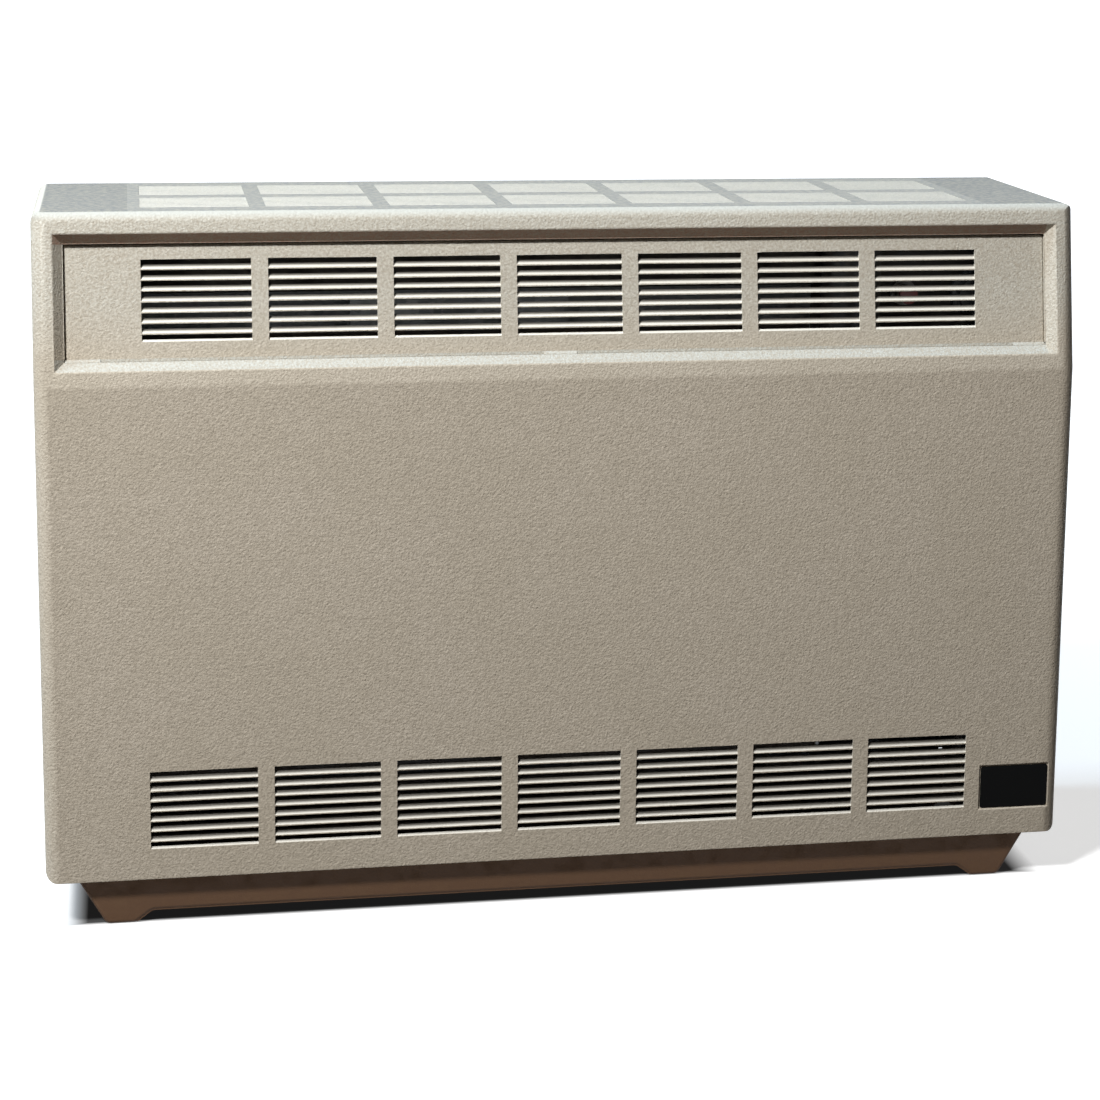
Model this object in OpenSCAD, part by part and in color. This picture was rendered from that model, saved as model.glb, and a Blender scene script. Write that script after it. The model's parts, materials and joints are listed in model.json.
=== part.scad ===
// Direct-vent gas heater for a wall: a louvred steel cabinet on a low base, with the sealed
// combustion chamber, its burner and pilot, the gas control and the vent collars inside it.
// Every piece is drawn with its own colour in its own module. Lengths are in millimetres,
// +Z is up and the room side of the heater looks along -Y.

/* [Cabinet] */
// Width of the cabinet
cab_w = 936; // [930:1:980]
// Height of the cabinet above its base
cab_h = 594; // [590:1:610]
// Depth of the cabinet, from its front face to the wall
cab_d = 250; // [250:1:262]
// Height of the base under the cabinet, feet included
base_h = 45; // [40:1:50]
// Radius of the cabinet's upper and lower edges
edge_r = 10; // [8:0.5:12]
// Radius of the cabinet's upright front edges
side_r = 13; // [10:0.5:14]
// Thickness of the cabinet's sheet steel
sheet = 1.2; // [1:0.1:1.4]
// Height of the crease where the header starts to lean back, above the cabinet's lower edge
crease_h = 445; // [440:1:448]
// Lean of the header, in degrees
header_tilt = 9.2; // [8:0.1:10]

/* [Louvres] */
// Groups of louvres side by side in each bank
groups = 7; // [5:2:7]
// Distance from one group to the next
group_pitch = 109.4; // [108:0.2:112]
// Length of a louvre
louvre_len = 96.6; // [92:0.2:98]
// Slots in each group
slots = 8; // [6:1:8]
// Distance from one slot to the next
slot_pitch = 9.285; // [9:0.005:9.4]
// Clear height of a slot
slot_gap = 4.3; // [4:0.1:4.6]

/* [Controls] */
// Diameter of the gas knob
knob_dia = 42; // [36:1:46]
// How far the gas knob is pushed in to light the pilot
knob_push = 5; // [3:0.5:5]
// Travel of the igniter's button
button_push = 7; // [5:0.5:7]

/* [Vent] */
// Outer diameter of the flue tube
flue_dia = 102; // [90:1:110]
// Outer diameter of the air tube round it
air_dia = 178; // [160:1:180]
// How far both tubes stand out behind the cabinet
collar_out = 38; // [30:1:50]

/* [Hidden] */
$fn = 48;

// The shift that puts the middle of the whole object's depth on the origin
front_y = -(cab_d + collar_out) / 2;

// Levels and planes, measured from the floor and from the cabinet's front face
half_w = cab_w / 2;
z_low = base_h;
z_top = base_h + cab_h;
z_crease = base_h + crease_h;
seam_y = 44;           // where the front panel's flange meets the top and end panels
top_flange = 24;       // how far the top panel comes down the sides
rear_flange = 14;
bottom_flange = [34, 26];
back_t = 1.2;
back_y = cab_d - sheet - back_t;   // the back panel's room-side face
fit_gap = 0.05;
edge_steps = 8;        // the flats that an edge of the cabinet is rounded with

// Louvre section: outer face, lip and gusset
slat_t = 1;
slat_h = slot_pitch - slot_gap;
slat_in = 4.2;
lip_h = 2.4;
comb_t = 0.9;
bank_h = (slots - 1) * slot_pitch + slot_gap;
lower_bank_z = z_low + 30;           // lower edge of the lowest slot
header_bank_s = 41;                  // the same, up the header from the crease
top_bank_y = [57.5, 151];            // front edges of the two banks in the top

// Header recess, measured up the header from the crease
rec_x = 450;
rec_lo = 13.9;
rec_hi = 132.7;
bevel_w = 8.5;
bevel_d = 9;
recess = [[-rec_x, rec_lo], [rec_x, rec_hi]];
open_x = rec_x - bevel_w;
open_lo = rec_lo + bevel_w;
open_hi = rec_hi - bevel_w;
ledge_t = 1.2;

// The three lugs that the grille's foot stands behind
lug_h = 2.4;
lug_w = 30;
lug_x = [-426, -10, 426];
lug_back = bevel_d + lug_h * bevel_d / bevel_w;

// Access grille and the clips behind its upper edge
grille_y = lug_back + 0.36;
grille_t = 1;
grille_bend = 0.8;
grille_side_gap = 0.45;
grille_top_gap = 0.6;
grille_flange = 7;
clip_x = [-300, 300];

// Nameplate, and the shallow pocket that it sits in
plate_lo = [391.5, base_h + 26.5];
plate_size = [65, 40];
plate_t = 0.8;
plate_margin = 0.4;
pocket_w = 1.6;
pocket_d = 1.5;
pocket = [
    plate_lo - (plate_margin + pocket_w) * [1, 1],
    plate_lo + plate_size + (plate_margin + pocket_w) * [1, 1]
];

// Combustion chamber and what is round it
ch_x0 = -400;
ch_x1 = 250;
ch_y0 = 78;
ch_y1 = 200;
ch_z0 = 110;
ch_z1 = 500;
ch_t = 2;
ch_mid = (ch_y0 + ch_y1) / 2;
seam_w = 12;
part_x = 290;
burner_z = 160;
vent_x = (ch_x0 + ch_x1) / 2;
vent_z = 430;
flue_grip = 20;        // how far a pipe goes onto each vent tube, up to its bead
air_grip = 30;
bead_w = 1.8;
bead_h = 1.5;
duct_y = 212;
duct_w = 210;
end_x = ch_x1 + 2;                    // outer face of the end plate's gasket

// Controls
ctrl_y = 74;                          // front face of the control bracket
knob_x = 385;
knob_z = 552;
ign_x = 322;
valve_x = [350, 420];
valve_y = [ctrl_y + 1.2, 135];         // it stands on the bracket's rear face
valve_z = [520, 580];
outlet = [365, 105];
inlet = [405, 105];
supply_r = 10.65;
tap_r = 10.3;
coupling_z = [52, 92];
pipe_z0 = 72;
win_x = 150;
win_z = 182;

// ---------- helpers ----------

module set_down() translate([0, front_y, 0]) children();

module block(a, b) translate(a) cube(b - a);

// A bar of the given (y, z) outline, from x0 to x1
module bar_x(x0, x1, outline)
    translate([x0, 0, 0]) rotate([90, 0, 90]) linear_extrude(x1 - x0) polygon(outline);

// A plate of the given (x, z) outline, from y0 to y1
module plate_y(y0, y1, outline)
    translate([0, y1, 0]) rotate([90, 0, 0]) linear_extrude(y1 - y0) polygon(outline);

module rod_x(x0, x1, y, z, r) translate([x0, y, z]) rotate([0, 90, 0]) cylinder(h = x1 - x0, r = r);

module rod_y(y0, y1, x, z, r) translate([x, y0, z]) rotate([-90, 0, 0]) cylinder(h = y1 - y0, r = r);

module rod_z(z0, z1, x, y, r) translate([x, y, z0]) cylinder(h = z1 - z0, r = r);

module rod_between(p, q, r) {
    d = q - p;
    translate(p) rotate([0, acos(d.z / norm(d)), atan2(d.y, d.x)]) cylinder(h = norm(d), r = r);
}

// A tube or lead along the given points, its corners bent to the given centre-line radius
module run(points, r, bend_r) {
    last = len(points) - 1;
    for (i = [0 : last - 1]) rod_between(
        i == 0 ? points[0] : corner(points, i, bend_r)[1],
        i == last - 1 ? points[last] : corner(points, i + 1, bend_r)[0], r
    );
    for (i = [1 : last - 1]) {
        c = corner(points, i, bend_r);
        multmatrix([
            [-c[4].x, c[3].x, cross(c[3], c[4]).x, c[2].x],
            [-c[4].y, c[3].y, cross(c[3], c[4]).y, c[2].y],
            [-c[4].z, c[3].z, cross(c[3], c[4]).z, c[2].z],
            [0, 0, 0, 1]
        ]) rotate_extrude(angle = c[5]) translate([bend_r, 0]) circle(r = r);
    }
}

function unit(v) = v / norm(v);

// The outline p with its corners rounded to the radii r, each in a number of steps
function rounded(p, r, steps = 5) = [for (i = [0 : len(p) - 1])
    let (
        b = p[i],
        u = unit(p[(i + len(p) - 1) % len(p)] - b),
        v = unit(p[(i + 1) % len(p)] - b),
        half = acos(u * v) / 2,
        centre = b + unit(u + v) * r[i] / sin(half),
        from = b + u * r[i] / tan(half) - centre,
        turn = 180 - 2 * half,
        way = cross(u, v) > 0 ? -1 : 1,
        start = atan2(from.y, from.x)
    ) each r[i] == 0 ? [b] : [for (k = [0 : steps]) centre + r[i] * [
        cos(start + way * turn * k / steps), sin(start + way * turn * k / steps)
    ]]
];

// Where a corner's bend starts and ends, its centre, the way in, the way towards the centre, its angle
function corner(points, i, bend_r) =
    let (
        u = unit(points[i] - points[i - 1]),
        v = unit(points[i + 1] - points[i]),
        turn = acos(u * v),
        back = bend_r * tan(turn / 2),
        n = unit(v - (u * v) * u)
    ) [points[i] - back * u, points[i] + back * v, points[i] - back * u + bend_r * n, u, n, turn];

module mirrored() {
    children();
    mirror([1, 0, 0]) children();
}

// Places things on the header's leaning plane: x across, y inwards, z up the header
module on_header() translate([0, 0, z_crease]) rotate([-header_tilt, 0, 0]) children();

// ---------- louvres ----------

function slat_foot(k) = slot_gap + k * slot_pitch;

// One louvre's section: a foot in the sheet's plane and a face pushed in at its upper edge
function slat_section(b) = [
    [0, b], [0, b + slat_t], [slat_in, b + slat_h], [slat_in + 0.7, b + slat_h - 0.7],
    [slat_t, b + 0.4], [slat_t, b]
];

// The lip that turns in under the lowest slot
lip_section = [
    [0, -lip_h], [0, -lip_h + 0.4], [1.9, 0], [2.6, -0.7], [slat_t, -lip_h + 0.2], [slat_t, -lip_h]
];

// The stretched metal that closes the louvres' ends, as one saw-toothed outline
comb_section = concat(
    [[0, -lip_h], [0, bank_h], [slat_t, bank_h]],
    [for (k = [slots - 2 : -1 : 0]) each [
        [slat_t, slat_foot(k) + slat_h + 0.6],
        [slat_in + 0.4, slat_foot(k) + slat_h + 0.2],
        [slat_in + 0.7, slat_foot(k) + slat_h - 0.7],
        [slat_t, slat_foot(k) + 0.4]
    ]],
    [[slat_t, 0.4], [2.1, 0.1], [2.6, -0.7], [slat_t, -lip_h + 0.2], [slat_t, -lip_h]]
);

function group_x(i) = (i - (groups - 1) / 2) * group_pitch - louvre_len / 2;

// Louvres of one bank, on a sheet whose outer face is y = 0, with z = 0 at the lowest slot
module louvre_bank() {
    for (i = [0 : groups - 1]) {
        x0 = group_x(i);
        for (x = [x0, x0 + louvre_len - comb_t]) bar_x(x, x + comb_t, comb_section);
        for (k = [0 : slots - 2])
            bar_x(x0 + comb_t, x0 + louvre_len - comb_t, slat_section(slat_foot(k)));
        bar_x(x0 + comb_t, x0 + louvre_len - comb_t, lip_section);
    }
}

// The windows that the louvres are pressed from
module bank_windows() {
    for (i = [0 : groups - 1])
        block([group_x(i), -1, -lip_h], [group_x(i) + louvre_len, sheet + 1, bank_h]);
}

// ---------- cabinet ----------

// The cabinet's side profile, all its faces moved in by o
module side_form(o) {
    bend_y = (o + (z_top - o - z_crease) * sin(header_tilt)) / cos(header_tilt);
    bar_x(-half_w, half_w, rounded([
        [o, z_low + o], [o, z_crease - o * tan(header_tilt / 2)], [bend_y, z_top - o],
        [cab_d - o, z_top - o], [cab_d - o, z_low + o]
    ], [0, 0, edge_r - o, 0, 0], edge_steps));
}

// A block with its two room-side upright edges rounded
module round_fronted(o, z0, z1, depth) translate([0, 0, z0]) linear_extrude(z1 - z0) polygon(rounded(
    [[-half_w + o, depth], [-half_w + o, o], [half_w - o, o], [half_w - o, depth]],
    [0, side_r - o, side_r - o, 0], edge_steps
));

// All that is above the plane that halves the angle of the crease
module above_crease() {
    fall = tan(header_tilt / 2);
    bar_x(-half_w - 1, half_w + 1, [
        [-1, z_crease + fall], [-1, z_top + 1],
        [cab_d + 2, z_top + 1], [cab_d + 2, z_crease - (cab_d + 2) * fall]
    ]);
}

module plan_form(o) {
    difference() {
        round_fronted(o, z_low - 1, z_crease + 1, cab_d + 1);
        above_crease();
    }
    intersection() {
        on_header() round_fronted(o, -40, cab_h - crease_h + 60, cab_d + 80);
        above_crease();
    }
}

module front_outline(o) plate_y(-1, cab_d + 1, rounded(
    [[-half_w + o, z_low + o], [half_w - o, z_low + o], [half_w - o, z_top - o], [-half_w + o, z_top - o]],
    [for (i = [0 : 3]) edge_r - o], edge_steps + 1
));

module cabinet_form(o) intersection() {
    side_form(o);
    plan_form(o);
    front_outline(o);
}

// The whole skin, open at the back and the bottom inside its turned-in flanges
module cabinet_skin() difference() {
    cabinet_form(0);
    cabinet_form(sheet);
    block(
        [-half_w + rear_flange, cab_d - 20, z_low + edge_r],
        [half_w - rear_flange, cab_d + 1, z_top - rear_flange]
    );
    block([-half_w + bottom_flange.x, bottom_flange.y, z_low - 1],
        [half_w - bottom_flange.x, cab_d + 1, z_low + edge_r + 1]);
}

// Between depths y0 and y1, the funnel that starts as the given rectangle on the face y = 0 and is
// w narrower all round at depth d, grown outwards by e
module funnel(opening, w, d, y0, y1, e) {
    s0 = e - w * y0 / d;
    s1 = e - w * y1 / d;
    lo = opening[0];
    hi = opening[1];
    intersection() {
        translate([0, 0, lo.y - 20]) linear_extrude(hi.y - lo.y + 40) polygon([
            [lo.x - s0, y0], [hi.x + s0, y0], [hi.x + s1, y1], [lo.x - s1, y1]
        ]);
        bar_x(lo.x - 20, hi.x + 20, [[y0, lo.y - s0], [y0, hi.y + s0], [y1, hi.y + s1], [y1, lo.y - s1]]);
    }
}

// The pressed wall of such a funnel, as thick as the sheet
module funnel_wall(opening, w, d) difference() {
    funnel(opening, w, d, 0, d, sheet);
    funnel(opening, w, d, -1, d + 1, 0);
}

module front_panel() color("#c9c1b0") {
    difference() {
        intersection() {
            cabinet_skin();
            block([-half_w - 1, -1, 0], [half_w + 1, seam_y, z_top + 1]);
        }
        on_header() funnel(recess, bevel_w, bevel_d, -2, 2, 0);
        funnel(pocket, pocket_w, pocket_d, -2, 2, 0);
        translate([0, 0, lower_bank_z]) bank_windows();
    }
    translate([0, 0, lower_bank_z]) louvre_bank();
    intersection() {
        funnel_wall(pocket, pocket_w, pocket_d);
        cabinet_form(0);
    }
    block([pocket[0].x, pocket_d, pocket[0].y], [pocket[1].x, pocket_d + sheet, pocket[1].y]);
    on_header() {
        funnel_wall(recess, bevel_w, bevel_d);
        // the ledge that the grille stands on, and the return above it that carries the clips
        block([-open_x - 1, bevel_d - 0.6, open_lo - ledge_t], [open_x + 1, grille_y + 9, open_lo]);
        block([-open_x - 1, bevel_d - 0.6, open_hi], [open_x + 1, bevel_d + 5.5, open_hi + ledge_t]);
        for (x = lug_x) bar_x(x - lug_w / 2, x + lug_w / 2, [
            [bevel_d, open_lo], [lug_back, open_lo + lug_h], [lug_back, open_lo]
        ]);
    }
}

module top_panel() color("#c9c1b0") {
    difference() {
        intersection() {
            cabinet_skin();
            block([-half_w - 1, seam_y, z_top - top_flange], [half_w + 1, cab_d + 1, z_top + 1]);
        }
        for (y = top_bank_y) top_bank(y) bank_windows();
        screw_holes();
    }
    for (y = top_bank_y) top_bank(y) louvre_bank();
}

// A bank laid in the top, its louvres dipping towards the room
module top_bank(y) translate([0, y + bank_h, z_top]) rotate([90, 0, 0]) mirror([0, 1, 0]) children();

module end_panel() intersection() {
    difference() {
        cabinet_skin();
        screw_holes();
    }
    block([half_w - 60, seam_y, 0], [half_w + 1, cab_d + 1, z_top - top_flange]);
}

module right_end_panel() color("#c6beae") end_panel();

module left_end_panel() color("#c6beae") mirror([1, 0, 0]) end_panel();

// The grille's outer form moved in by o, with its upper and end edges bent back
module grille_form(o) {
    x1 = open_x - grille_side_gap - o;
    top = open_hi - grille_top_gap - o;
    c = grille_bend;
    intersection() {
        bar_x(-x1, x1, [[o, open_lo], [o, top - c], [o + c, top], [20, top], [20, open_lo]]);
        linear_extrude(cab_h - crease_h) polygon([
            [-x1, 20], [-x1, o + c], [c - x1, o], [x1 - c, o], [x1, o + c], [x1, 20]
        ]);
    }
}

module access_grille() color("#cdc5b5") on_header() translate([0, grille_y, 0]) {
    difference() {
        grille_form(0);
        grille_form(grille_t);
        block([-open_x, grille_flange, 0], [open_x, 21, open_hi]);
        block([-open_x, grille_t, open_lo - 1], [open_x, grille_flange + 1, open_lo + 1]);
        translate([0, 0, header_bank_s]) bank_windows();
    }
    translate([0, 0, header_bank_s]) louvre_bank();
}

// Leaf springs behind the header that the grille's upper edge rests on
module grille_clips() color("#8f9296") on_header() for (x = clip_x) {
    leaf_y = grille_y + grille_flange + 0.1;
    foot_s = open_hi + ledge_t;
    block([x - 12, bevel_d + 0.5, foot_s], [x + 12, leaf_y + 1, foot_s + 1]);
    block([x - 12, leaf_y, open_hi - 12], [x + 12, leaf_y + 1, foot_s]);
}

// Bare plate in its pocket by the lower louvres
module nameplate() color("#161616") plate_y(pocket_d - plate_t, pocket_d, rounded([
    plate_lo, plate_lo + [plate_size.x, 0], plate_lo + plate_size, plate_lo + [0, plate_size.y]
], [2, 2, 2, 2]));

// ---------- base and back ----------

base_top_x = 442;
foot_x = [390, 416];
foot_z = 11;
foot_depth = 34;
foot_radii = [0, 7, 6, 8];
skirt_y = [12, 240];
base_t = 1.2;

// Half of the base's outline, from its upper corner to the skirt's lower edge, moved in by o
function base_half(o) = [
    [base_top_x - 1.2 * o, z_low - o], [foot_x[1] - 0.8 * o, o], [foot_x[0] + 0.3 * o, o],
    [foot_x[0] - 15 + 0.3 * o, foot_z + o]
];

function base_outline(o) = let (half = base_half(o)) rounded(
    concat(half, [for (i = [3 : -1 : 0]) [-half[i].x, half[i].y]]),
    concat(foot_radii, [for (i = [3 : -1 : 0]) foot_radii[i]])
);

module base_tray() color("#4a3a30") difference() {
    plate_y(skirt_y[0], skirt_y[1], base_outline(0));
    plate_y(skirt_y[0] + base_t, skirt_y[1] - base_t, base_outline(base_t));
    // open underneath, and at the sides between the feet
    block([-foot_x[0] + 1, skirt_y[0] + base_t, -1], [foot_x[0] - 1, skirt_y[1] - base_t, foot_z + 3]);
    block([-base_top_x, skirt_y[0] + foot_depth, -1], [base_top_x, skirt_y[1] - foot_depth, foot_z]);
    // opening for the gas supply
    block([inlet.x - 32, inlet.y - 32, z_low - 5], [inlet.x + 32, inlet.y + 32, z_low + 5]);
}

wall_holes = [[-360, 560], [360, 560], [-360, 120], [360, 120]];
wall_hole_r = 3.6;
screw_inset = 7.5;
screw_spots = concat(
    [for (x = [-1, 1] * (half_w - screw_inset)) for (z = [120, 350, 580]) [x, z]],
    [for (x = [-260, 260]) [x, z_top - screw_inset]]
);
screw_r = 2;
screw_head_r = 3.2;

// A flat screw head as deep as the sheet, grown by e
module screw_head(p, e) translate([p.x, cab_d - sheet, p.y]) rotate([-90, 0, 0])
    cylinder(h = sheet, r1 = screw_r + e, r2 = screw_head_r + e);

module screw_holes() for (p = screw_spots) {
    rod_y(cab_d - 10, cab_d + 1, p.x, p.y, screw_r + fit_gap);
    screw_head(p, fit_gap);
}

back_x = half_w - 3;
back_z = [z_low + 1.5, z_top - 3];
back_r = 8;
foot_flange = 12;      // how far the back panel's lower flange comes into the room
stiffener_x = [-250, 120, 250];
stiffener_z = [90, 320];

module back_panel() color("#a9adb0") difference() {
    union() {
        plate_y(back_y, back_y + back_t, rounded([
            [-back_x, back_z[0]], [back_x, back_z[0]], [back_x, back_z[1]], [-back_x, back_z[1]]
        ], [back_r, back_r, back_r, back_r]));
        // stiffening flanges along the foot and up the middle
        block([-half_w + 40, back_y - foot_flange, back_z[0]], [half_w - 40, back_y, back_z[0] + back_t]);
        for (x = stiffener_x)
            block([x, back_y - 5, stiffener_z[0]], [x + back_t, back_y, stiffener_z[1]]);
    }
    rod_y(back_y - 1, cab_d, vent_x, vent_z, air_dia / 2 + 3);
    for (p = wall_holes) rod_y(back_y - 1, cab_d, p.x, p.y, wall_hole_r);
    for (p = screw_spots) rod_y(back_y - 1, cab_d, p.x, p.y, screw_r + fit_gap);
}

module cabinet_screws() color("#b8bbbe") for (p = screw_spots) {
    rod_y(back_y - 4, cab_d - sheet, p.x, p.y, screw_r);
    screw_head(p, 0);
}

part_t = 1.2;
part_y0 = 40;
part_top = 612;
part_flange = [120, 600];   // the heights between which it is flanged to the back panel

module partition_panel() color("#a4a8ab") difference() {
    union() {
        block([part_x, part_y0, z_low], [part_x + part_t, back_y, part_top]);
        block([part_x - 10, back_y - part_t, part_flange[0]], [part_x, back_y, part_flange[1]]);
        block([part_x - 12, part_y0, z_low], [part_x, back_y - foot_flange - 0.5, z_low + part_t]);
    }
    // for the manifold and for the pilot's tube and leads
    rod_x(part_x - 1, part_x + 2, ch_mid, burner_z, 18);
    block([part_x - 1, ch_mid + 8, 170], [part_x + 2, ch_mid + 48, 230]);
    // notch round the back panel's lower flange
    block(
        [part_x - 1, back_y - foot_flange - 0.2, z_low - 1],
        [part_x + 2, back_y + 1, back_z[0] + back_t + 0.2]
    );
}

// ---------- combustion chamber ----------

rib_x = [for (i = [0 : 8]) ch_x0 + 65 + i * 65];

// One pressed half: a pan with a seam flange, and upright ribs standing out of its floor
module chamber_pan(y_floor, y_seam) {
    out = sign(y_floor - y_seam);
    inner = y_floor - out * ch_t;
    difference() {
        block(
            [ch_x0, min(y_floor, y_seam), ch_z0],
            [ch_x1, max(y_floor, y_seam), ch_z1]
        );
        block(
            [ch_x0 + ch_t, min(inner, y_seam + (out < 0 ? 1 : -1)), ch_z0 + ch_t],
            [ch_x1 - ch_t, max(inner, y_seam + (out < 0 ? 1 : -1)), ch_z1 - ch_t]
        );
    }
    difference() {
        block(
            [ch_x0 - seam_w, min(y_seam, y_seam + out * 1.5), ch_z0 - seam_w],
            [ch_x1, max(y_seam, y_seam + out * 1.5), ch_z1 + seam_w]
        );
        block([ch_x0 + 1, y_seam - 3, ch_z0 + 1], [ch_x1 + 1, y_seam + 3, ch_z1 - 1]);
    }
}

module chamber_opening() block([ch_x1 - 5, ch_mid - 42, 122], [ch_x1 + 5, ch_mid + 42, 205]);

module chamber_front_half() color("#5b5550") difference() {
    union() {
        chamber_pan(ch_y0, ch_mid);
        for (x = rib_x) intersection() {
            rod_z(250, 460, x, ch_y0 + 3, 9);
            block([x - 10, ch_y0 - 8, 240], [x + 10, ch_y0 + 1, 470]);
        }
    }
    chamber_opening();
    rod_y(ch_y0 - 1, ch_y0 + ch_t + 1, win_x, win_z, 15);
}

module chamber_rear_half() color("#57514c") difference() {
    chamber_pan(ch_y1, ch_mid);
    chamber_opening();
    rod_y(ch_y1 - ch_t - 1, ch_y1 + 1, vent_x, vent_z, flue_dia / 2 + fit_gap);
    block(
        [vent_x - throat_x, ch_y1 - ch_t - 1, throat_z[0]],
        [vent_x + throat_x, ch_y1 + 1, throat_z[1]]
    );
}

// Angle brackets that carry the chamber on the base
module chamber_supports() color("#8b8f92") for (x = [-330, 180]) {
    w = 30;
    t = 2;
    y = [ch_mid - 44, ch_mid + 46];
    cheek_top = ch_z0 - seam_w - 2.5;
    block([x, y[0], z_low], [x + w, y[1], z_low + t]);
    for (side = [x, x + w - t]) block([side, y[0], z_low + t], [side + t, y[1], cheek_top]);
    // pads on both sides of the seam flange
    for (pad = [[y[0], ch_mid - 2.5], [ch_mid + 2.5, y[1]]])
        block([x, pad[0], cheek_top], [x + w, pad[1], ch_z0]);
}

shield_y = 36;
shield_x = [-410, 270];
shield_z = [218, 470];
shield_t = 0.8;
shield_lip = 14;
standoffs = [for (x = [-367, 217]) for (z = [245, 450]) [x, z]];

// Radiation shield between the chamber and the front panel
module heat_shield() color("#b4b8ba") difference() {
    union() {
        block([shield_x[0], shield_y, shield_z[0]], [shield_x[1], shield_y + shield_t, shield_z[1]]);
        for (z = [shield_z[0], shield_z[1] - shield_t])
            block([shield_x[0], shield_y + shield_t, z], [shield_x[1], shield_y + shield_lip, z + shield_t]);
    }
    for (p = standoffs) rod_y(shield_y - 1, shield_y + 2, p.x, p.y, 2 + fit_gap);
}

module shield_standoffs() color("#9ea1a3") for (p = standoffs) {
    rod_y(shield_y + shield_t, ch_y0, p.x, p.y, 5);
    rod_y(shield_y - 0.01, shield_y + shield_t, p.x, p.y, 2);
    rod_y(shield_y - 2.5, shield_y, p.x, p.y, 4);
}

// Bent sheet that turns the warm air forward to the louvres
module air_deflector() color("#b4b8ba") {
    foot = 536;
    rise = 628;
    off = back_y - 14;         // its face towards the back panel
    bar_x(shield_x[0], part_x - 10.5, [
        [off, foot], [off, rise - 26], [off - 26, rise], [off - 27, rise - 0.6],
        [off - 1, rise - 27], [off - 1, foot]
    ]);
    for (x = [-380, -240, 90, 250]) block([x, off, foot + 9], [x + 1.2, back_y, foot + 64]);
}

// ---------- vent ----------

duct_z = [112, 530];
duct_t = 1;
throat_x = 70;
throat_z = [120, 170];

// The duct's box and its throat into the foot of the chamber, their walls moved in by o
module duct_form(o) {
    block(
        [vent_x - duct_w / 2 + o, duct_y + o, duct_z[0] + o],
        [vent_x + duct_w / 2 - o, back_y - o, duct_z[1] - o]
    );
    block(
        [vent_x - throat_x + o, ch_y1 - o, throat_z[0] + o],
        [vent_x + throat_x - o, duct_y + 5 * o, throat_z[1] - o]
    );
}

module air_drop_duct() color("#a9adb0") difference() {
    duct_form(0);
    duct_form(duct_t);
    rod_y(duct_y - 1, duct_y + 2, vent_x, vent_z, flue_dia / 2 + fit_gap);
    rod_y(back_y - 2, back_y + 1, vent_x, vent_z, air_dia / 2 + fit_gap);
}

// The rolled bead that a vent pipe is pushed up to
module bead(y, r) rod_y(y - bead_w, y, vent_x, vent_z, r + bead_h);

module flue_tube() color("#c4c7c9") difference() {
    union() {
        rod_y(ch_y1 - ch_t, cab_d + collar_out, vent_x, vent_z, flue_dia / 2);
        bead(cab_d + collar_out - flue_grip, flue_dia / 2);
    }
    rod_y(ch_y1 - ch_t - 1, cab_d + collar_out + 1, vent_x, vent_z, flue_dia / 2 - 1.2);
}

module air_tube() color("#b9bdbf") difference() {
    union() {
        rod_y(back_y - 1, cab_d + collar_out, vent_x, vent_z, air_dia / 2);
        bead(cab_d + collar_out - air_grip, air_dia / 2);
    }
    rod_y(back_y - 2, cab_d + collar_out + 1, vent_x, vent_z, air_dia / 2 - 1.2);
}

// Three bent tabs that keep the flue tube in the middle of the air tube
module vent_spacers() color("#9ea1a3") for (a = [90, 210, 330])
    translate([vent_x, 0, vent_z]) rotate([0, -a, 0]) {
        inner = flue_dia / 2 + 0.1;
        outer = air_dia / 2 - 1.6;
        block([inner, cab_d + 6, -6], [outer, cab_d + 7.2, 6]);
        block([inner, cab_d + 7.2, -6], [inner + 1.2, cab_d + 16, 6]);
        block([outer - 1.2, cab_d + 7.2, -6], [outer, cab_d + 16, 6]);
    }

module vent_gasket() color("#8a8580") difference() {
    rod_y(cab_d - sheet, cab_d + 3, vent_x, vent_z, air_dia / 2 + 14);
    rod_y(cab_d - sheet - 1, cab_d + 4, vent_x, vent_z, air_dia / 2 + fit_gap);
}

// ---------- burner ----------

burner_x = [-340, 140];
throat_x0 = 162;
mouth_x = [196, 214];
flare_x0 = 176;
throat_r = 15;
tube_r = 20;
mouth_r = 24;
tube_t = 1.5;
ports = 30;
port_pitch = 15.5;
port = [2.5, 18];

module cone_x(x0, x1, r1, r2)
    translate([x0, ch_mid, burner_z]) rotate([0, 90, 0]) cylinder(h = x1 - x0, r1 = r1, r2 = r2);

module burner_tube() color("#8f8a84") difference() {
    union() {
        rod_x(burner_x[0], burner_x[1], ch_mid, burner_z, tube_r);
        cone_x(burner_x[1], throat_x0, tube_r, throat_r);
        rod_x(throat_x0, flare_x0, ch_mid, burner_z, throat_r);
        cone_x(flare_x0, mouth_x[0], throat_r, mouth_r);
        rod_x(mouth_x[0], mouth_x[1], ch_mid, burner_z, mouth_r);
    }
    rod_x(burner_x[0] + tube_t, burner_x[1], ch_mid, burner_z, tube_r - tube_t);
    rod_x(burner_x[1] - 1, flare_x0 + 1, ch_mid, burner_z, throat_r - tube_t);
    cone_x(flare_x0, mouth_x[0], throat_r - tube_t, mouth_r - tube_t);
    rod_x(mouth_x[0] - 0.01, mouth_x[1] + 1, ch_mid, burner_z, mouth_r - tube_t);
    // a row of crosswise slots along the crown, for the flames
    for (i = [0 : ports - 1]) translate([burner_x[0] + port_pitch * (i + 1) - 0.5, ch_mid, burner_z])
        block([0, -port.y / 2, tube_r - 4], [port.x, port.y / 2, tube_r + 1]);
}

module burner_saddles() color("#7d7a76") for (x = [-300, 110]) difference() {
    block([x, ch_mid - 26, ch_z0 + ch_t], [x + 3, ch_mid + 26, burner_z]);
    rod_x(x - 1, x + 4, ch_mid, burner_z, tube_r + fit_gap);
}

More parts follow.
